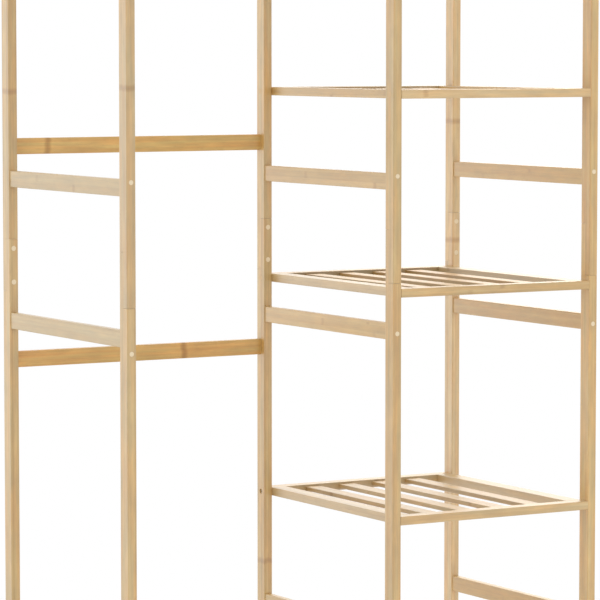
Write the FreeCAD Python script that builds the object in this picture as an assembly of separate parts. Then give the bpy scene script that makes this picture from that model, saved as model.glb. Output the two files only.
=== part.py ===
import FreeCAD, Part
import os

# Open frame wardrobe of bamboo bars: three ladder frames carry a hanging bay on the left
# and a tower of slatted shelves on the right.
# Millimetres. X runs to the right, Y to the back and Z up, from the floor under the middle.

# Overall sizes
overall_height = 1700.0
overall_depth = 400.0
hanging_bay_width = 420.0  # clear, between the left and the middle frame
tower_width = 333.0  # clear, between the middle and the right frame

# Posts, each in two halves joined by a half lap
post_width = 14.0
post_depth = 22.5
arris_radius = 1.2
lap_height = 900.0  # centre of the laps of the middle and the right frame
left_lap_drop = 19.3  # the left frame's laps sit this much lower
lap_length = 78.0
lap_end_gap = 0.3  # open seam at the end of each tongue

# Rungs, a little thinner than the posts, between the front and the back post of a frame
rung_height = 24.0
rung_thickness = 11.0
foot_rung_height = 341.0  # centre above the floor
lower_rung_drop = 109.7  # centre below the lap height
left_lower_rung_drop = 101.6
upper_rung_rise = 108.6  # centre above the lap height
head_rung_drop = 241.0  # centre below the top

# Back rails of the hanging bay, level with the back of the posts
back_rail_height = 24.0
back_rail_thickness = 11.0
lower_back_rail_drop = 160.8  # centre below the lap height
upper_back_rail_rise = 156.4  # centre above the lap height

# Shelves: rails laid flat, with side rails and slats let into the long rails
long_rail_width = 21.0
side_rail_width = 26.0
shelf_rail_height = 12.8
slat_width = 26.0
slat_thickness = 6.5  # half way up the rails
tower_slat_count = 4
bay_slat_count = 5
tenon_length = 6.0
slat_shoulder = 1.0
side_rail_shoulder = 4.0
first_shelf_height = 173.0  # undersides of the tower's shelves
second_shelf_drop = 393.4  # below the lap height
third_shelf_drop = 59.8  # below the lap height
fourth_shelf_rise = 228.6  # above the lap height
fifth_shelf_drop = 58.0  # below the head rungs' centre
top_shelf_drop = 25.5  # below the top
bay_bottom_shelf_height = 110.0
bay_top_shelf_drop = 75.0  # below the top

# Hanging rod, between the head rungs of the left and the middle frame
hanging_rod_diameter = 22.0

# Pins and dowels
pin_diameter = 6.8
pin_reach = 25.0  # into the end of a rung
upper_pin_rise = 8.0  # above a rung's centre
lower_pin_drop = 2.5  # below a rung's centre
spare_plug_drop = 19.8  # below the centre of the left lower rung
spare_plug_length = 10.0
dowel_diameter = 6.0
dowel_offset = 6.0  # from a bar's centre
dowel_post_depth = 8.0
dowel_bar_depth = 20.0

# Bolts and caps
shank_diameter = 4.8
head_diameter = 6.6
head_height = 3.0
rod_bolt_recess = 0.6  # head below the rung's face
bolt_reach = 30.0  # into the bar that the bolt holds
lap_bolt_spacing = 50.0
lap_bolt_end_cover = 2.5  # wood left behind a lap bolt
cap_diameter = 7.4
cap_thickness = 2.0
open_shelf_bolt = ("tower_shelf_2", "middle", "back")  # the one shelf bolt without a cap

# Foot pads
pad_thickness = 3.0
pad_inset = 1.0

# Fits
fit_clearance = 0.1
cut_overrun = 1.0
parallel_tolerance = 0.01  # radians

# Directions and derived places
Vector = FreeCAD.Vector
rightward = Vector(1, 0, 0)
backward = Vector(0, 1, 0)
upward = Vector(0, 0, 1)
frame_names = ("left", "middle", "right")
side_names = ("front", "back")
outward = {"front": -backward, "back": backward}
overall_width = len(frame_names) * post_width + hanging_bay_width + tower_width
frame_left_face = {
    "left": -overall_width / 2,
    "middle": overall_width / 2 - 2 * post_width - tower_width,
    "right": overall_width / 2 - post_width,
}
outer_face = overall_depth / 2
inner_face = outer_face - post_depth
rail_inner_face = outer_face - long_rail_width
frame_lap_height = {"left": lap_height - left_lap_drop, "middle": lap_height, "right": lap_height}
head_rung_height = overall_height - head_rung_drop

groups = {
    "rung_pins": [],
    "rung_dowels": [],
    "back_rail_dowels": [],
    "lap_bolts": [],
    "lap_caps": [],
    "shelf_bolts": [],
    "shelf_caps": [],
    "rod_bolts": [],
    "foot_pads": [],
}
post_cuts = {(frame, side): [] for frame in frame_names for side in side_names}


def save(name, solids):
    shape = solids[0] if len(solids) == 1 else Part.makeCompound(solids)
    shape.exportStep("parts/" + name + ".step")


def box_between(low, high):
    size = high - low
    return Part.makeBox(size.x, size.y, size.z, low)


def bar(low, high, along):
    box = box_between(low, high)
    long_edges = []
    for edge in box.Edges:
        if edge.tangentAt(edge.FirstParameter).isParallel(along, parallel_tolerance):
            long_edges.append(edge)
    return box.makeFillet(arris_radius, long_edges)


def peg(start, direction, length, diameter):
    return Part.makeCylinder(diameter / 2, length, start, direction)


def peg_hole(start, direction, length, diameter):
    first = start - direction * fit_clearance
    return peg(first, direction, length + 2 * fit_clearance, diameter + 2 * fit_clearance)


def bolt(face_point, direction, recess, shank_length):
    head = peg(face_point + direction * recess, direction, head_height, head_diameter)
    neck = face_point + direction * (recess + head_height)
    return head.fuse(peg(neck, direction, shank_length, shank_diameter)).removeSplitter()


def bolt_hole(face_point, direction, recess, shank_length, mouth_diameter):
    mouth_depth = recess + head_height
    mouth = peg(
        face_point - direction * cut_overrun,
        direction,
        cut_overrun + mouth_depth,
        mouth_diameter + 2 * fit_clearance,
    )
    neck = face_point + direction * mouth_depth
    return mouth.fuse(peg_hole(neck, direction, shank_length, shank_diameter))


def post_centre(frame, side):
    across = frame_left_face[frame] + post_width / 2
    return Vector(across, 0, 0) + outward[side] * (outer_face - post_depth / 2)


# Posts
def add_lap_bolts(frame, side):
    middle = Vector(frame_left_face[frame] + post_width / 2, 0, frame_lap_height[frame])
    middle += outward[side] * inner_face
    shank_length = post_depth - cap_thickness - head_height - lap_bolt_end_cover
    for rise in (-lap_bolt_spacing / 2, lap_bolt_spacing / 2):
        face_point = middle + upward * rise
        direction = outward[side]
        groups["lap_bolts"].append(bolt(face_point, direction, cap_thickness, shank_length))
        groups["lap_caps"].append(peg(face_point, direction, cap_thickness, cap_diameter))
        hole = bolt_hole(face_point, direction, cap_thickness, shank_length, cap_diameter)
        post_cuts[frame, side].append(hole)


def post_bar(frame, side, low_z, high_z):
    centre = post_centre(frame, side)
    half = Vector(post_width / 2, post_depth / 2, 0)
    return bar(centre - half + upward * low_z, centre + half + upward * high_z, upward)


def lap_waste(frame, side, low_z, high_z, facing):
    # Half of the post's depth, on the side that facing points to, is cut away over the lap.
    centre = post_centre(frame, side)
    far = centre + facing * (post_depth / 2 + cut_overrun)
    reach = Vector(post_width / 2 + cut_overrun, 0, 0)
    low = Vector(centre.x - reach.x, min(centre.y, far.y), low_z)
    high = Vector(centre.x + reach.x, max(centre.y, far.y), high_z)
    return box_between(low, high)


def make_posts(frame, side):
    lap_low = frame_lap_height[frame] - lap_length / 2
    lap_high = frame_lap_height[frame] + lap_length / 2
    lower_end = lap_high - lap_end_gap
    upper_end = lap_low + lap_end_gap
    lower = post_bar(frame, side, pad_thickness, lower_end)
    upper = post_bar(frame, side, upper_end, overall_height)
    lower_waste = lap_waste(frame, side, lap_low, lap_high, outward[side])
    upper_waste = lap_waste(frame, side, lap_low, lap_high, -outward[side])
    holes = post_cuts[frame, side]
    save(frame + "_" + side + "_lower_post", [lower.cut([lower_waste] + holes)])
    save(frame + "_" + side + "_upper_post", [upper.cut([upper_waste] + holes)])


def add_foot_pad(frame, side):
    centre = post_centre(frame, side)
    half = Vector(post_width / 2 - pad_inset, post_depth / 2 - pad_inset, 0)
    groups["foot_pads"].append(bar(centre - half, centre + half + upward * pad_thickness, upward))


# Rungs
def rung_faces(frame):
    middle = frame_left_face[frame] + post_width / 2
    return middle - rung_thickness / 2, middle + rung_thickness / 2


def rung_ends(frame, height, rise):
    across = frame_left_face[frame] + post_width / 2
    for side in side_names:
        yield side, Vector(across, 0, height + rise), outward[side]


def add_rung_pins(frame, height, rise):
    holes = []
    for side, middle, direction in rung_ends(frame, height, rise):
        start = middle + direction * outer_face
        length = post_depth + pin_reach
        groups["rung_pins"].append(peg(start, -direction, length, pin_diameter))
        hole = peg_hole(start, -direction, length, pin_diameter)
        post_cuts[frame, side].append(hole)
        holes.append(hole)
    return holes


def add_spare_plugs(frame, height, rise):
    for side, middle, direction in rung_ends(frame, height, rise):
        start = middle + direction * outer_face
        groups["rung_pins"].append(peg(start, -direction, spare_plug_length, pin_diameter))
        hole = peg_hole(start, -direction, spare_plug_length, pin_diameter)
        post_cuts[frame, side].append(hole)


def add_rung_dowels(frame, height, rise):
    holes = []
    for side, middle, direction in rung_ends(frame, height, rise):
        start = middle + direction * (inner_face + dowel_post_depth)
        length = dowel_post_depth + dowel_bar_depth
        groups["rung_dowels"].append(peg(start, -direction, length, dowel_diameter))
        hole = peg_hole(start, -direction, length, dowel_diameter)
        post_cuts[frame, side].append(hole)
        holes.append(hole)
    return holes


def make_rung(name, frame, height, holes):
    left, right = rung_faces(frame)
    low = Vector(left, -inner_face, height - rung_height / 2)
    high = Vector(right, inner_face, height + rung_height / 2)
    save(frame + "_" + name + "_rung", [bar(low, high, backward).cut(holes)])


def make_rungs(frame, rod_holes):
    foot_holes = add_rung_pins(frame, foot_rung_height, -lower_pin_drop)
    foot_holes += add_rung_dowels(frame, foot_rung_height, dowel_offset)
    make_rung("foot", frame, foot_rung_height, foot_holes)

    if frame == "left":
        lower_height = lap_height - left_lower_rung_drop
        add_spare_plugs(frame, lower_height, -spare_plug_drop)
        lower_holes = add_rung_dowels(frame, lower_height, -dowel_offset)
    else:
        lower_height = lap_height - lower_rung_drop
        lower_holes = add_rung_pins(frame, lower_height, -lower_pin_drop)
    lower_holes += add_rung_dowels(frame, lower_height, dowel_offset)
    make_rung("lower", frame, lower_height, lower_holes)

    upper_height = lap_height + upper_rung_rise
    upper_holes = add_rung_pins(frame, upper_height, upper_pin_rise)
    upper_holes += add_rung_dowels(frame, upper_height, -dowel_offset)
    make_rung("upper", frame, upper_height, upper_holes)

    head_holes = add_rung_pins(frame, head_rung_height, upper_pin_rise)
    head_holes += add_rung_dowels(frame, head_rung_height, -dowel_offset)
    make_rung("head", frame, head_rung_height, head_holes + rod_holes)


# Back rails
def make_back_rail(name, height):
    left = frame_left_face["left"] + post_width
    right = frame_left_face["middle"]
    low = Vector(left, outer_face - back_rail_thickness, height - back_rail_height / 2)
    high = Vector(right, outer_face, height + back_rail_height / 2)
    middle_y = outer_face - back_rail_thickness / 2
    length = dowel_post_depth + dowel_bar_depth
    holes = []
    for frame, face, direction in (("left", left, rightward), ("middle", right, -rightward)):
        for rise in (-dowel_offset, dowel_offset):
            start = Vector(face, middle_y, height + rise) - direction * dowel_post_depth
            groups["back_rail_dowels"].append(peg(start, direction, length, dowel_diameter))
            hole = peg_hole(start, direction, length, dowel_diameter)
            post_cuts[frame, "back"].append(hole)
            holes.append(hole)
    save(name + "_back_rail", [bar(low, high, rightward).cut(holes)])


# Hanging rod
def make_hanging_rod():
    left, rod_left = rung_faces("left")
    rod_right, right = rung_faces("middle")
    rod = peg(
        Vector(rod_left, 0, head_rung_height),
        rightward,
        rod_right - rod_left,
        hanging_rod_diameter,
    )
    shank_length = rung_thickness + bolt_reach - rod_bolt_recess - head_height
    rung_holes = {"left": [], "middle": [], "right": []}
    for frame, face, direction in (("left", left, rightward), ("middle", right, -rightward)):
        face_point = Vector(face, 0, head_rung_height)
        groups["rod_bolts"].append(bolt(face_point, direction, rod_bolt_recess, shank_length))
        hole = bolt_hole(face_point, direction, rod_bolt_recess, shank_length, head_diameter)
        rung_holes[frame].append(hole)
        rod = rod.cut(hole)
    save("hanging_rod", [rod])
    return rung_holes


# Shelves
def tenon_core(low, high, shoulder, grow):
    # The bar's core, which runs on into the long rails at both ends.
    inset = Vector(shoulder - grow, -tenon_length - grow, shoulder - grow)
    return box_between(low + inset, high - inset)


def add_shelf_bolts(name, left_frame, right_frame, height):
    left = frame_left_face[left_frame]
    right = frame_left_face[right_frame] + post_width
    shank_length = post_width + bolt_reach - cap_thickness - head_height
    holes = []
    for side in side_names:
        for frame, face, direction in ((left_frame, left, rightward), (right_frame, right, -rightward)):
            face_point = Vector(face, post_centre(frame, side).y, height)
            groups["shelf_bolts"].append(bolt(face_point, direction, cap_thickness, shank_length))
            if (name, frame, side) != open_shelf_bolt:
                groups["shelf_caps"].append(peg(face_point, direction, cap_thickness, cap_diameter))
            hole = bolt_hole(face_point, direction, cap_thickness, shank_length, cap_diameter)
            post_cuts[frame, side].append(hole)
            holes.append(hole)
    return holes


def make_shelf(name, left_frame, right_frame, bottom, slat_count):
    left = frame_left_face[left_frame] + post_width
    right = frame_left_face[right_frame]
    top = bottom + shelf_rail_height
    holes = add_shelf_bolts(name, left_frame, right_frame, bottom + shelf_rail_height / 2)

    side_rails = []
    for rail_left in (left, right - side_rail_width):
        low = Vector(rail_left, -rail_inner_face, bottom)
        high = Vector(rail_left + side_rail_width, rail_inner_face, top)
        core = tenon_core(low, high, side_rail_shoulder, 0)
        side_rails.append(bar(low, high, backward).fuse(core).removeSplitter())
        holes.append(tenon_core(low, high, side_rail_shoulder, fit_clearance))

    slats = []
    open_width = right - left - 2 * side_rail_width
    slat_gap = (open_width - slat_count * slat_width) / (slat_count + 1)
    slat_bottom = bottom + (shelf_rail_height - slat_thickness) / 2
    for index in range(slat_count):
        slat_left = left + side_rail_width + slat_gap + index * (slat_width + slat_gap)
        low = Vector(slat_left, -rail_inner_face, slat_bottom)
        high = Vector(slat_left + slat_width, rail_inner_face, slat_bottom + slat_thickness)
        core = tenon_core(low, high, slat_shoulder, 0)
        slats.append(bar(low, high, backward).fuse(core).removeSplitter())
        holes.append(tenon_core(low, high, slat_shoulder, fit_clearance))

    long_rails = []
    for rail_front in (-outer_face, rail_inner_face):
        low = Vector(left, rail_front, bottom)
        high = Vector(right, rail_front + long_rail_width, top)
        long_rails.append(bar(low, high, rightward).cut(holes))

    save(name + "_long_rails", long_rails)
    save(name + "_side_rails", side_rails)
    save(name + "_slats", slats)


os.makedirs("parts", exist_ok=True)

tower_shelf_heights = (
    first_shelf_height,
    lap_height - second_shelf_drop,
    lap_height - third_shelf_drop,
    lap_height + fourth_shelf_rise,
    head_rung_height - fifth_shelf_drop,
    overall_height - top_shelf_drop,
)
for number, height in enumerate(tower_shelf_heights, start=1):
    make_shelf("tower_shelf_" + str(number), "middle", "right", height, tower_slat_count)
make_shelf("bay_bottom_shelf", "left", "middle", bay_bottom_shelf_height, bay_slat_count)
make_shelf("bay_top_shelf", "left", "middle", overall_height - bay_top_shelf_drop, bay_slat_count)

make_back_rail("lower", lap_height - lower_back_rail_drop)
make_back_rail("upper", lap_height + upper_back_rail_rise)

rod_holes = make_hanging_rod()
for frame in frame_names:
    make_rungs(frame, rod_holes[frame])
    for side in side_names:
        add_lap_bolts(frame, side)
        add_foot_pad(frame, side)
        make_posts(frame, side)

for name, solids in groups.items():
    save(name, solids)
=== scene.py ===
import bpy
import math
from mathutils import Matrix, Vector


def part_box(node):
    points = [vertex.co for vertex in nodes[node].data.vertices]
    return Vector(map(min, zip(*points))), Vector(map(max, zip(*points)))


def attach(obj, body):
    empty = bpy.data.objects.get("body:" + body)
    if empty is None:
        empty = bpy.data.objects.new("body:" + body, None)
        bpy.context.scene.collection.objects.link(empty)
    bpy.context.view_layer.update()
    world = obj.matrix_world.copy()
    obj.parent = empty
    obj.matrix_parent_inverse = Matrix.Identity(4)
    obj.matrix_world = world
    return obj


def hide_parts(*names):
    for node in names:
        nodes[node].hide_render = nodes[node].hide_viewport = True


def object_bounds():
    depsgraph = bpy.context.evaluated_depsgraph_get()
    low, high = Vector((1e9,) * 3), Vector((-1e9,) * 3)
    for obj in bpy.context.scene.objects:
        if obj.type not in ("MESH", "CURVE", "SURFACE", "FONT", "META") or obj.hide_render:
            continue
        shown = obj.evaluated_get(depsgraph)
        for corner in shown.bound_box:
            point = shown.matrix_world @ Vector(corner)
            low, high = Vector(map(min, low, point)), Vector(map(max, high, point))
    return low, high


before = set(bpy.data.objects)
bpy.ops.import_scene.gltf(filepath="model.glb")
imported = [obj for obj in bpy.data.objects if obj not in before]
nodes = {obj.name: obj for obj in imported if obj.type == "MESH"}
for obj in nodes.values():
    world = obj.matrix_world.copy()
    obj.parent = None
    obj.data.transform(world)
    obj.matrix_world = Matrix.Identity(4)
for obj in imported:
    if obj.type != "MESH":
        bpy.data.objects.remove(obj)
cadLow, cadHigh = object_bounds()
print("frame loaded:", len(nodes), "nodes")


# Node helpers shared by all the finishes
def startMaterial(name):
    material = bpy.data.materials.new(name)
    material.use_nodes = True
    tree = material.node_tree
    tree.nodes.clear()
    return material, tree


def addNode(tree, kind, settings=None, inputs=None):
    node = tree.nodes.new(kind)
    for key, value in (settings or {}).items():
        setattr(node, key, value)
    for key, value in (inputs or {}).items():
        if isinstance(value, bpy.types.NodeSocket):
            tree.links.new(value, node.inputs[key])
        else:
            node.inputs[key].default_value = value
    return node


def mathNode(tree, operation, first, second=0.0, clamp=False):
    settings = {"operation": operation, "use_clamp": clamp}
    return addNode(tree, "ShaderNodeMath", settings, {0: first, 1: second}).outputs[0]


def mapRange(tree, value, source, target, kind="LINEAR"):
    inputs = {
        "Value": value,
        "From Min": source[0],
        "From Max": source[1],
        "To Min": target[0],
        "To Max": target[1],
    }
    settings = {"interpolation_type": kind}
    return addNode(tree, "ShaderNodeMapRange", settings, inputs).outputs["Result"]


def fade(tree, value, start, end):  # 1 at start, falling smoothly to 0 at end
    return mapRange(tree, value, (start, end), (1.0, 0.0), "SMOOTHSTEP")


def mixColour(tree, factor, first, second, blend="MIX"):
    settings = {"data_type": "RGBA", "blend_type": blend}
    node = addNode(tree, "ShaderNodeMix", settings, {0: factor, 6: first, 7: second})
    return node.outputs[2]


def bumpNode(tree, height, look):
    inputs = {"Height": height, "Strength": look["bumpStrength"], "Distance": look["bumpDepth"]}
    return addNode(tree, "ShaderNodeBump", None, inputs).outputs[0]


def seenRays(tree):  # rays from the camera, and those that metal and glass send on
    path = addNode(tree, "ShaderNodeLightPath")
    seen = mathNode(tree, "MAXIMUM", path.outputs["Is Camera Ray"], path.outputs["Is Glossy Ray"])
    return mathNode(tree, "MAXIMUM", seen, path.outputs["Is Transmission Ray"])


def finishMaterial(tree, shader):
    output = tree.nodes.new("ShaderNodeOutputMaterial")
    tree.links.new(shader.outputs[0], output.inputs["Surface"])


# Bamboo bars: glued strips, soft streaks and mottling along the grain, and node marks
bambooLook = {
    "pale": (0.660, 0.453, 0.164, 1),
    "straw": (0.574, 0.373, 0.112, 1),
    "honey": (0.486, 0.290, 0.066, 1),
    "warmTint": (1.08, 0.94, 0.76, 1),
    "coolTint": (0.98, 1.00, 1.05, 1),
    "markTint": (0.80, 0.68, 0.46, 1),
    "lineColour": (0.250, 0.135, 0.045, 1),
    "poreColour": (0.250, 0.140, 0.055, 1),
    "stripWidth": 0.0105,
    "stripJitter": 0.55,
    "stripSpread": 0.45,
    "seamWidth": 0.04,  # in strip widths
    "seamShare": 0.2,
    "streakWidth": 0.0045,
    "streakLength": 0.35,
    "streakSpread": 1.5,
    "mottleWidth": 0.012,
    "mottleLength": 0.045,
    "mottleRange": (0.25, 0.75),
    "mottleDepth": 0.13,
    "hueWidth": 0.009,
    "hueLength": 0.11,
    "hueRange": (0.3, 0.7),
    "softDetail": 2.0,  # noise detail of streaks, mottling and hue
    "plainDetail": 1.0,  # and of flecks and the wander of the marks
    "fibreWidth": 0.0007,
    "fibreLength": 0.035,
    "fibreDetail": 3.0,
    "fibreRange": (0.3, 0.7),
    "fibreShade": (0.9, 1.07),
    "fleckWidth": 0.0005,
    "fleckLength": 0.012,
    "fleckRange": (0.30, 0.36),
    "fleckShare": 0.25,
    "markSpacing": 0.42,
    "markScatter": 7.0,  # sets the marks of neighbouring strips apart
    "markFading": 1.5,  # higher leaves fewer strips with a strong mark
    "markCore": 0.0015,
    "markReach": 0.0065,
    "markWander": 0.006,
    "wanderLength": 1.0,
    "lineCore": 0.00036,
    "lineReach": 0.0012,
    "lineShare": 0.15,
    # painted shade: factors for the sides (not tops or bottoms) and for the inner faces; 1.0
    # paints none
    "paintedSideShade": 1.0,
    "sideShadeTilt": (0.5, 0.9),
    "paintedInnerShade": 1.0,
    "innerShadeTilt": (-0.9, -0.5),
    "innerAxis": "Y",  # inner faces look towards innerCentre along this axis
    "innerCentre": 0.0,
    "endTilt": 0.9,
    "poreSize": 0.0009,
    "poreRange": (0.15, 0.4),
    "poreShare": 0.6,
    "lineRelief": 0.6,
    "fleckRelief": 0.4,
    "seamRelief": 0.3,
    "bumpStrength": 0.35,
    "bumpDepth": 0.00025,
    "roughness": 0.48,
    "roughnessSpread": 0.1,
    "lacquer": 1.0,
    "lacquerRoughness": 0.36,
    "ior": 1.8,
}


def bambooMaterial(name, alongAxis, look, grainShift=0.0, markPlaces=()):
    material, tree = startMaterial(name)
    coords = addNode(tree, "ShaderNodeTexCoord")
    split = addNode(tree, "ShaderNodeSeparateXYZ", None, {0: coords.outputs["Object"]})
    along = split.outputs[alongAxis]
    acrossAxes = [axis for axis in "XYZ" if axis != alongAxis]
    across = [mathNode(tree, "ADD", split.outputs[axis], grainShift) for axis in acrossAxes]

    def stretched(width, length=1.0):  # a pattern's vector, drawn out along the bar
        parts = [mathNode(tree, "DIVIDE", part, width) for part in across]
        parts.append(mathNode(tree, "DIVIDE", along, length))
        return addNode(tree, "ShaderNodeCombineXYZ", None, dict(enumerate(parts))).outputs[0]

    def grainNoise(width, length, detail):
        inputs = {"Vector": stretched(width, length), "Scale": 1.0, "Detail": detail}
        return addNode(tree, "ShaderNodeTexNoise", None, inputs).outputs[0]

    def crossCells(feature, width, jitter=1.0):  # cells of the cross section, the same all along
        settings = {"voronoi_dimensions": "2D", "feature": feature}
        inputs = {"Vector": stretched(width), "Scale": 1.0, "Randomness": jitter}
        return addNode(tree, "ShaderNodeTexVoronoi", settings, inputs)

    def centred(value, gain):
        return mathNode(tree, "MULTIPLY", mathNode(tree, "SUBTRACT", value, 0.5), gain)

    def partly(mask, share):
        return mathNode(tree, "MULTIPLY", mask, share)

    def tinted(base, tint):
        return mixColour(tree, 1.0, base, tint, "MULTIPLY")

    # Strips and streaks: each glued strip has its own tone, and streaks run along it
    strips = crossCells("F1", look["stripWidth"], look["stripJitter"])
    stripRandom = addNode(tree, "ShaderNodeSeparateColor", None, {0: strips.outputs["Color"]})
    seams = crossCells("DISTANCE_TO_EDGE", look["stripWidth"], look["stripJitter"])
    seam = fade(tree, seams.outputs["Distance"], 0.0, look["seamWidth"])
    streaks = grainNoise(look["streakWidth"], look["streakLength"], look["softDetail"])
    tone = mathNode(tree, "ADD", centred(stripRandom.outputs[0], look["stripSpread"]), 0.5)
    tone = mathNode(tree, "ADD", tone, centred(streaks, look["streakSpread"]), True)
    ramp = addNode(tree, "ShaderNodeValToRGB", None, {0: tone})
    ramp.color_ramp.elements[0].color = look["pale"]
    ramp.color_ramp.elements[1].color = look["honey"]
    ramp.color_ramp.elements.new(0.5).color = look["straw"]
    colour = mixColour(tree, partly(seam, look["seamShare"]), ramp.outputs["Color"], look["honey"])

    # Mottling: lighter and darker patches, and warmer and cooler ones
    mottle = grainNoise(look["mottleWidth"], look["mottleLength"], look["softDetail"])
    mottleShade = (1.0 - look["mottleDepth"], 1.0 + look["mottleDepth"])
    colour = tinted(colour, mapRange(tree, mottle, look["mottleRange"], mottleShade))
    hue = grainNoise(look["hueWidth"], look["hueLength"], look["softDetail"])
    warmth = fade(tree, hue, *look["hueRange"])
    colour = tinted(colour, mixColour(tree, warmth, look["coolTint"], look["warmTint"]))

    # Fibres and flecks along the grain
    fibres = grainNoise(look["fibreWidth"], look["fibreLength"], look["fibreDetail"])
    colour = tinted(colour, mapRange(tree, fibres, look["fibreRange"], look["fibreShade"]))
    flecks = grainNoise(look["fleckWidth"], look["fleckLength"], look["plainDetail"])
    fleck = fade(tree, flecks, *look["fleckRange"])
    colour = mixColour(tree, partly(fleck, look["fleckShare"]), colour, look["lineColour"])

    # Node marks: a soft dark band with a thin line, at given places or somewhere on each strip
    wander = grainNoise(look["mottleWidth"], look["wanderLength"], look["plainDetail"])
    place = mathNode(tree, "ADD", along, centred(wander, look["markWander"]))
    if markPlaces:
        strength = 1.0
        distance = look["markSpacing"]
        for markPlace in markPlaces:
            gap = mathNode(tree, "ABSOLUTE", mathNode(tree, "SUBTRACT", place, markPlace))
            distance = mathNode(tree, "MINIMUM", distance, gap)
    else:
        strength = mathNode(tree, "POWER", stripRandom.outputs[2], look["markFading"])
        turn = mathNode(tree, "DIVIDE", place, look["markSpacing"])
        turn = mathNode(tree, "ADD", turn, partly(stripRandom.outputs[1], look["markScatter"]))
        turn = centred(mathNode(tree, "FRACT", turn), look["markSpacing"])
        distance = mathNode(tree, "ABSOLUTE", turn)
    mark = partly(fade(tree, distance, look["markCore"], look["markReach"]), strength)
    line = partly(fade(tree, distance, look["lineCore"], look["lineReach"]), strength)
    colour = mixColour(tree, mark, colour, look["markTint"], "MULTIPLY")
    colour = mixColour(tree, partly(line, look["lineShare"]), colour, look["lineColour"])

    # Painted shade: the slats' sides and the rails' inner faces can be darker than the other faces
    geometry = addNode(tree, "ShaderNodeNewGeometry")
    facing = addNode(tree, "ShaderNodeSeparateXYZ", None, {0: geometry.outputs["Normal"]})
    innerAxis = look["innerAxis"]
    offset = mathNode(tree, "SUBTRACT", split.outputs[innerAxis], look["innerCentre"])
    outward = mathNode(tree, "MULTIPLY", facing.outputs[innerAxis], mathNode(tree, "SIGN", offset))
    sidePaintedShadeMask = fade(tree, mathNode(tree, "ABSOLUTE", facing.outputs["Z"]), *look["sideShadeTilt"])
    innerPaintedShadeMask = fade(tree, outward, *look["innerShadeTilt"])
    for paintedShadeMask, shade in ((sidePaintedShadeMask, look["paintedSideShade"]), (innerPaintedShadeMask, look["paintedInnerShade"])):
        colour = tinted(colour, mapRange(tree, paintedShadeMask, (0.0, 1.0), (1.0, shade)))

    # Sawn ends show the cut fibre bundles as dark pores
    endness = mathNode(tree, "ABSOLUTE", facing.outputs[alongAxis])
    endMask = mathNode(tree, "GREATER_THAN", endness, look["endTilt"])
    pores = crossCells("F1", look["poreSize"])
    pore = fade(tree, pores.outputs["Distance"], *look["poreRange"])
    endColour = mixColour(tree, partly(pore, look["poreShare"]), look["straw"], look["poreColour"])
    colour = mixColour(tree, endMask, colour, endColour)

    # Relief: fibres and node lines stand up, flecks and seams are sunk
    height = mathNode(tree, "ADD", fibres, partly(line, look["lineRelief"]))
    height = mathNode(tree, "SUBTRACT", height, partly(fleck, look["fleckRelief"]))
    height = mathNode(tree, "SUBTRACT", height, partly(seam, look["seamRelief"]))
    smoothest = look["roughness"] - look["roughnessSpread"]
    roughest = look["roughness"] + look["roughnessSpread"]
    shader = addNode(
        tree, "ShaderNodeBsdfPrincipled", None,
        {
            "Base Color": colour,
            "Roughness": mapRange(tree, fibres, (0.0, 1.0), (smoothest, roughest)),
            "Normal": bumpNode(tree, height, look),
            "Coat Weight": look["lacquer"],
            "Coat Roughness": look["lacquerRoughness"],
            "Coat IOR": look["ior"],
            "IOR": look["ior"],
        },
    )
    finishMaterial(tree, shader)
    return material


# Posts: each half has its own tones, and each post its node marks at these heights
fairTones = {
    "pale": (0.665, 0.476, 0.208, 1),
    "straw": (0.580, 0.396, 0.150, 1),
    "honey": (0.492, 0.310, 0.097, 1),
}
duskTones = {
    "pale": (0.630, 0.434, 0.149, 1),
    "straw": (0.548, 0.356, 0.100, 1),
    "honey": (0.464, 0.276, 0.058, 1),
}
blondTones = {
    "pale": (0.760, 0.560, 0.265, 1),
    "straw": (0.695, 0.485, 0.200, 1),
    "honey": (0.610, 0.395, 0.135, 1),
}
paleBlondTones = {
    "pale": (0.780, 0.585, 0.272, 1),
    "straw": (0.713, 0.508, 0.205, 1),
    "honey": (0.626, 0.414, 0.139, 1),
}
goldTones = {
    "pale": (0.700, 0.480, 0.165, 1),
    "straw": (0.630, 0.405, 0.112, 1),
    "honey": (0.545, 0.325, 0.070, 1),
}
postBars = {  # lower tones, upper tones, marks
    ("left", "back"): ({}, {}, (0.17, 1.138, 1.52)),
    ("left", "front"): ({}, fairTones, (0.24, 1.147, 1.47)),
    ("middle", "back"): ({}, {}, (0.404, 1.55)),
    ("middle", "front"): ({}, duskTones, (0.28, 1.44)),
    ("right", "back"): (blondTones, paleBlondTones, (0.21, 0.895, 1.085, 1.50)),
    ("right", "front"): (goldTones, goldTones, (0.15, 1.58)),
}
grainShifts = {"lower": 0.0, "upper": 0.137}  # the two halves are cut from different bars
postBamboo = {}
for (side, depth), (lowerTones, upperTones, markPlaces) in postBars.items():
    for half, tones in (("lower", lowerTones), ("upper", upperTones)):
        barName = f"{side}_{depth}_{half}_post"
        barLook = {**bambooLook, **tones}
        postBamboo[barName] = bambooMaterial(barName, "Z", barLook, grainShifts[half], markPlaces)

# Rungs and side rails: calmer streaks than the posts'
rungLook = {
    **bambooLook,
    "streakSpread": 0.9,
    "mottleDepth": 0.10,
    "warmTint": (1.05, 0.96, 0.84, 1),
    "coolTint": (1.01, 1.00, 1.00, 1),
}
ashTones = {
    "pale": (0.585, 0.430, 0.178, 1),
    "straw": (0.505, 0.350, 0.124, 1),
    "honey": (0.428, 0.272, 0.076, 1),
}
oliveTones = {
    "pale": (0.650, 0.432, 0.118, 1),
    "straw": (0.585, 0.362, 0.076, 1),
    "honey": (0.505, 0.290, 0.044, 1),
}
creamTones = {
    "pale": (0.642, 0.480, 0.235, 1),
    "straw": (0.558, 0.400, 0.180, 1),
    "honey": (0.474, 0.318, 0.130, 1),
}
towerLow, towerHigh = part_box("tower_shelf_3_long_rails")
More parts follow.
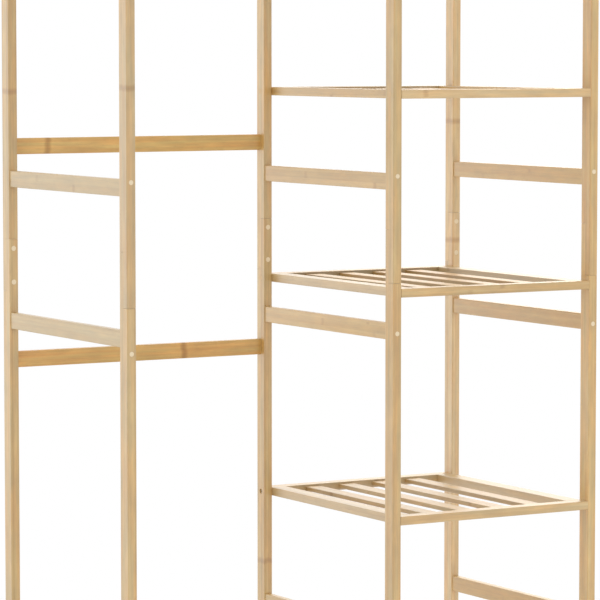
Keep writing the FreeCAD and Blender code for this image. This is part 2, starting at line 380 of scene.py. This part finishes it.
# Painted shade on the inner faces of the third tower shelf's side rails
innerPaintedShading = {
    "paintedInnerShade": 0.70,
    "innerAxis": "X",
    "innerCentre": (towerLow.x + towerHigh.x) / 2,
}
deepBamboo = bambooMaterial("deepBamboo", "Y", rungLook)
ashRung = bambooMaterial("ashRung", "Y", {**rungLook, **ashTones})
oliveRung = bambooMaterial("oliveRung", "Y", {**rungLook, **oliveTones})
creamSideRail = bambooMaterial("creamSideRail", "Y", {**rungLook, **creamTones})
paintedShadeSideRail = bambooMaterial("paintedShadeSideRail", "Y", {**rungLook, **creamTones, **innerPaintedShading})

# Slats: painted shade on their sides, and less sheen on their tops
slatLook = {
    **bambooLook,
    "pale": (0.655, 0.474, 0.222, 1),
    "straw": (0.570, 0.394, 0.170, 1),
    "honey": (0.484, 0.312, 0.120, 1),
    "paintedSideShade": 0.80,
    "ior": 1.5,
}
# Third tower shelf's slats: warmer tones, and deeper painted shade on their sides
warmSlatTonesAndShade = {
    "pale": (0.700, 0.450, 0.140, 1),
    "straw": (0.610, 0.372, 0.096, 1),
    "honey": (0.515, 0.290, 0.056, 1),
    "paintedSideShade": 0.55,
}
slatBamboo = bambooMaterial("slatBamboo", "Y", slatLook)
warmSlat = bambooMaterial("warmSlat", "Y", {**slatLook, **warmSlatTonesAndShade})

# Long rails: painted shade on their inner faces
wideLook = {**bambooLook, "paintedInnerShade": 0.50}
sandLook = {
    **bambooLook,
    "pale": (0.700, 0.500, 0.222, 1),
    "straw": (0.620, 0.424, 0.160, 1),
    "honey": (0.540, 0.340, 0.104, 1),
    "paintedInnerShade": 0.68,
}
wideBamboo = bambooMaterial("wideBamboo", "X", wideLook)
sandRail = bambooMaterial("sandRail", "X", sandLook)

# Back rails: caramel, with node marks at these places along them
caramelLook = {
    **bambooLook,
    "pale": (0.752, 0.482, 0.160, 1),
    "straw": (0.664, 0.384, 0.112, 1),
    "honey": (0.566, 0.300, 0.088, 1),
    "warmTint": (1.05, 0.94, 0.80, 1),
    "coolTint": (0.96, 1.04, 1.03, 1),
    "markTint": (0.69, 0.60, 0.46, 1),
    "markReach": 0.0078,
    "hueWidth": 0.0075,
    "hueLength": 0.16,
    "ior": 1.5,
}
backRailMarks = {"upper_back_rail": (-0.328, 0.085), "lower_back_rail": (-0.0985,)}
backRailBamboo = {
    railName: bambooMaterial(railName, "X", caramelLook, markPlaces=railMarks)
    for railName, railMarks in backRailMarks.items()
}
print("bamboo made")


# Small pieces have a fine even grain
def evenGrain(tree, look):
    coords = addNode(tree, "ShaderNodeTexCoord")
    inputs = {
        "Vector": coords.outputs["Object"],
        "Scale": 1.0 / look["grainSize"],
        "Detail": look["grainDetail"],
    }
    grain = addNode(tree, "ShaderNodeTexNoise", None, inputs).outputs[0]
    return grain, mixColour(tree, grain, look["light"], look["dark"])


# Pins, dowels and lap caps of pale wood, shelf caps in the posts' tone, dark plastic foot pads
paleLook = {
    "light": (0.930, 0.790, 0.570, 1),
    "dark": (0.820, 0.660, 0.430, 1),
    "grainSize": 0.0011,
    "grainDetail": 3.0,
    "bumpStrength": 0.3,
    "bumpDepth": 0.0002,
    "roughness": 0.55,
}
capTones = {
    "light": (0.720, 0.520, 0.300, 1),
    "dark": (0.655, 0.455, 0.245, 1),
}
padLook = {
    "light": (0.040, 0.037, 0.034, 1),
    "dark": (0.020, 0.018, 0.016, 1),
    "grainSize": 0.0006,
    "grainDetail": 2.0,
    "bumpStrength": 0.4,
    "bumpDepth": 0.0002,
    "roughness": 0.7,
}


def capAndPadMaterial(name, look):
    material, tree = startMaterial(name)
    grain, colour = evenGrain(tree, look)
    inputs = {
        "Base Color": colour,
        "Roughness": look["roughness"],
        "Normal": bumpNode(tree, grain, look),
    }
    finishMaterial(tree, addNode(tree, "ShaderNodeBsdfPrincipled", None, inputs))
    return material


# Bolts: dull zinc that is smoother in places
steelLook = {
    "light": (0.860, 0.800, 0.710, 1),
    "dark": (0.740, 0.680, 0.590, 1),
    "grainSize": 0.0008,
    "grainDetail": 2.0,
    "smoothest": 0.44,
    "roughest": 0.64,
}


def boltSteelMaterial(name, look):
    material, tree = startMaterial(name)
    grain, colour = evenGrain(tree, look)
    inputs = {
        "Base Color": colour,
        "Metallic": 1.0,
        "Roughness": mapRange(tree, grain, (0.0, 1.0), (look["smoothest"], look["roughest"])),
    }
    finishMaterial(tree, addNode(tree, "ShaderNodeBsdfPrincipled", None, inputs))
    return material


paleWood = capAndPadMaterial("paleWood", paleLook)
capWood = capAndPadMaterial("capWood", {**paleLook, **capTones})
padPlastic = capAndPadMaterial("padPlastic", padLook)
boltSteel = boltSteelMaterial("boltSteel", steelLook)

# Which node has which finish: some by their whole name, the rest by how it starts and ends
finishByName = {
    **postBamboo,
    **backRailBamboo,
    "tower_shelf_2_side_rails": creamSideRail,
    "tower_shelf_3_side_rails": paintedShadeSideRail,
    "tower_shelf_2_long_rails": sandRail,
    "tower_shelf_4_long_rails": sandRail,
    "tower_shelf_3_slats": warmSlat,
    "hanging_rod": wideBamboo,
    "shelf_caps": capWood,
    "foot_pads": padPlastic,
}
finishByKind = (
    ("left", "_rung", ashRung),
    ("middle", "_rung", deepBamboo),
    ("right", "_rung", oliveRung),
    ("", "_side_rails", deepBamboo),
    ("", "_long_rails", wideBamboo),
    ("", "_slats", slatBamboo),
    ("", "_bolts", boltSteel),
)


def finishFor(nodeName):
    if nodeName in finishByName:
        return finishByName[nodeName]
    for start, end, finish in finishByKind:
        if nodeName.startswith(start) and nodeName.endswith(end):
            return finish
    return paleWood  # pins, dowels and lap caps


for nodeName, node in nodes.items():
    node.data.materials.clear()
    node.data.materials.append(finishFor(nodeName))
print("finishes assigned")


# Bolts with a hexagon socket, in place of the plain ones
boltShape = {
    "headWidth": 0.0066,
    "headHeight": 0.0030,
    "shankWidth": 0.0048,
    "rimBevel": 0.0004,
    "rimSegments": 2,
    "socketWidth": 0.0036,  # across the corners
    "socketDepth": 0.0019,
    "socketSides": 6,
    "roundSides": 40,
    "smoothAngle": 35,  # degrees
    "faceTolerance": 1e-6,
    "reach": 0.030,  # into the bar that the bolt holds
    "rodRecess": 0.0006,  # head below the rung's face
    "shelfRecess": 0.0020,  # head below the post's face, under the cap
}


def selectFacesAt(bolt, height, tolerance):
    bpy.ops.object.mode_set(mode="OBJECT")
    for face in bolt.data.polygons:
        face.select = abs(face.center.z - height) < tolerance
    bpy.ops.object.mode_set(mode="EDIT")


def modelBolt(name, shape, shankLength):  # head at the origin, shank along Z
    bpy.ops.object.select_all(action="DESELECT")
    bpy.ops.mesh.primitive_cylinder_add(
        vertices=shape["roundSides"], radius=shape["headWidth"] / 2, depth=shape["headHeight"],
        location=(0, 0, shape["headHeight"] / 2),
    )
    bolt = bpy.context.active_object
    bolt.name = name
    bpy.ops.object.transform_apply(location=True, rotation=True, scale=True)
    bpy.ops.object.mode_set(mode="EDIT")
    bpy.ops.mesh.select_mode(type="FACE")
    bpy.ops.mesh.select_all(action="DESELECT")
    selectFacesAt(bolt, shape["headHeight"], shape["faceTolerance"])
    bpy.ops.mesh.inset(thickness=(shape["headWidth"] - shape["shankWidth"]) / 2)
    bpy.ops.mesh.extrude_region_move(TRANSFORM_OT_translate={"value": (0, 0, shankLength)})
    bpy.ops.mesh.select_all(action="DESELECT")
    selectFacesAt(bolt, 0.0, shape["faceTolerance"])
    bpy.ops.mesh.bevel(offset=shape["rimBevel"], segments=shape["rimSegments"], affect="EDGES")
    bpy.ops.object.mode_set(mode="OBJECT")

    bpy.ops.object.select_all(action="DESELECT")
    bpy.ops.mesh.primitive_cylinder_add(
        vertices=shape["socketSides"], radius=shape["socketWidth"] / 2,
        depth=2 * shape["socketDepth"], location=(0, 0, 0),
    )
    socket = bpy.context.active_object
    bpy.context.view_layer.objects.active = bolt
    cut = bolt.modifiers.new("socket", "BOOLEAN")
    cut.operation = "DIFFERENCE"
    cut.object = socket
    bpy.ops.object.modifier_apply(modifier=cut.name)
    bpy.data.objects.remove(socket)
    return bolt


def placeBolts(name, shape, shankLength, places):
    first = modelBolt(name, shape, shankLength)
    copies = [first]
    for _ in places[1:]:
        copy = first.copy()
        copy.data = first.data.copy()
        bpy.context.scene.collection.objects.link(copy)
        copies.append(copy)
    bpy.ops.object.select_all(action="DESELECT")
    for copy, (headPlace, direction) in zip(copies, places):
        copy.location = headPlace
        copy.rotation_euler = (0, math.copysign(math.pi / 2, direction), 0)
        copy.select_set(True)
    bpy.context.view_layer.objects.active = first
    bpy.ops.object.transform_apply(location=True, rotation=True, scale=True)
    bpy.ops.object.join()
    bpy.ops.object.shade_smooth_by_angle(angle=math.radians(shape["smoothAngle"]))
    first.data.materials.clear()
    first.data.materials.append(boltSteel)
    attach(first, "root")
    return first


def boltPlaces(leftBox, rightBox, recess, y, z):
    return [
        (Vector((leftBox[0].x + recess, y, z)), 1),
        (Vector((rightBox[1].x - recess, y, z)), -1),
    ]


def shankFor(barBox, recess):  # through the outer bar and into the one that it holds
    return barBox[1].x - barBox[0].x + boltShape["reach"] - recess - boltShape["headHeight"]


leftRung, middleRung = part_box("left_head_rung"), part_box("middle_head_rung")
rodHeight = (leftRung[0].z + leftRung[1].z) / 2
rodPlaces = boltPlaces(leftRung, middleRung, boltShape["rodRecess"], 0.0, rodHeight)
rodShank = shankFor(leftRung, boltShape["rodRecess"])
rodBolts = placeBolts("rodBolts", boltShape, rodShank, rodPlaces)
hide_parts("rod_bolts")

shelfPlaces = []
for nodeName in sorted(nodes):
    if not nodeName.endswith("_long_rails"):
        continue
    shelfLow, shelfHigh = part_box(nodeName)
    inBay = nodeName.startswith("bay")
    leftFrame, rightFrame = ("left", "middle") if inBay else ("middle", "right")
    for depth in ("front", "back"):
        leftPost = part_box(f"{leftFrame}_{depth}_lower_post")
        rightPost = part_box(f"{rightFrame}_{depth}_lower_post")
        shelfPlaces += boltPlaces(
            leftPost, rightPost, boltShape["shelfRecess"],
            (leftPost[0].y + leftPost[1].y) / 2, (shelfLow.z + shelfHigh.z) / 2,
        )
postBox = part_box("left_front_lower_post")
shelfShank = shankFor(postBox, boltShape["shelfRecess"])
shelfBolts = placeBolts("shelfBolts", boltShape, shelfShank, shelfPlaces)
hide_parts("shelf_bolts")
print("bolts modelled:", len(shelfPlaces) + len(rodPlaces))

# Floor and surroundings
stageLook = {
    "floorSize": 60.0,
    "floorColour": (0.90, 0.90, 0.89, 1),
    "white": (1.0, 1.0, 1.0, 1),
    "nearRadius": 0.6,
    "farRadius": 2.0,
    "shadowShare": 0.55,  # of the floor's own shading, near the object
}


def makeFloor(look):
    bpy.ops.object.select_all(action="DESELECT")
    bpy.ops.mesh.primitive_plane_add(size=look["floorSize"], location=(0, 0, cadLow.z))
    floor = bpy.context.active_object
    floor.name = "studioFloor"
    material, tree = startMaterial("studioFloor")
    coords = addNode(tree, "ShaderNodeTexCoord")
    fromCentre = {0: coords.outputs["Object"]}
    distance = addNode(tree, "ShaderNodeVectorMath", {"operation": "LENGTH"}, fromCentre)
    nearness = fade(tree, distance.outputs["Value"], look["nearRadius"], look["farRadius"])
    matte = addNode(tree, "ShaderNodeBsdfDiffuse", None, {"Color": look["floorColour"]})
    white = addNode(tree, "ShaderNodeEmission", None, {"Color": look["white"], "Strength": 1.0})
    shadow = mathNode(tree, "MULTIPLY", nearness, look["shadowShare"])
    whiteShare = mathNode(tree, "SUBTRACT", 1.0, shadow)
    whiteShare = mathNode(tree, "MULTIPLY", whiteShare, seenRays(tree))
    shaders = {0: whiteShare, 1: matte.outputs[0], 2: white.outputs[0]}
    finishMaterial(tree, addNode(tree, "ShaderNodeMixShader", None, shaders))
    floor.data.materials.append(material)


makeFloor(stageLook)

worldLook = {"fill": 0.95, "white": (1.0, 1.0, 1.0, 1)}


def makeWorld(look):
    world = bpy.data.worlds.new("studioWorld")
    bpy.context.scene.world = world
    world.use_nodes = True
    tree = world.node_tree
    tree.nodes.clear()
    fillInputs = {"Color": look["white"], "Strength": look["fill"]}
    fill = addNode(tree, "ShaderNodeBackground", None, fillInputs)
    white = addNode(tree, "ShaderNodeBackground", None, {"Color": look["white"], "Strength": 1.0})
    shaders = {0: seenRays(tree), 1: fill.outputs[0], 2: white.outputs[0]}
    shader = addNode(tree, "ShaderNodeMixShader", None, shaders)
    output = tree.nodes.new("ShaderNodeOutputWorld")
    tree.links.new(shader.outputs[0], output.inputs["Surface"])


makeWorld(worldLook)

lamps = {
    "backLamp": {
        "place": (3.6, 3.4, 3.8),
        "size": 3.0,
        "power": 90.0,
        "colour": (1.0, 0.91, 0.76),
    },
    "sideLamp": {
        "place": (-2.2, 3.6, 1.2),
        "size": 3.2,
        "power": 12.0,
        "colour": (1.0, 1.0, 1.0),
    },
}


def makeLamp(name, look, target):
    data = bpy.data.lights.new(name, "AREA")
    data.size = look["size"]
    data.energy = look["power"]
    data.color = look["colour"]
    lamp = bpy.data.objects.new(name, data)
    bpy.context.scene.collection.objects.link(lamp)
    lamp.visible_camera = False
    lamp.location = look["place"]
    lamp.rotation_euler = (target - lamp.location).to_track_quat("-Z", "Y").to_euler()


middle = (cadLow + cadHigh) / 2
for lampName, lampLook in lamps.items():
    makeLamp(lampName, lampLook, middle)

photoCamera = {
    "place": (-2.5059, -4.2753, 1.2065),
    "yaw": 30.344,  # degrees to the right of straight ahead
    "pitch": 4.395,  # degrees below the horizon
    "lens": 199.32,
    "sensor": 36.0,
}


def makeCamera(look):
    data = bpy.data.cameras.new("photoCamera")
    data.lens = look["lens"]
    data.sensor_width = look["sensor"]
    camera = bpy.data.objects.new("photoCamera", data)
    bpy.context.scene.collection.objects.link(camera)
    camera.location = look["place"]
    camera.rotation_euler = (math.radians(90 - look["pitch"]), 0, math.radians(-look["yaw"]))
    bpy.context.scene.camera = camera


makeCamera(photoCamera)
bpy.context.scene.view_settings.view_transform = "Standard"
print("stage, lamps and camera set")
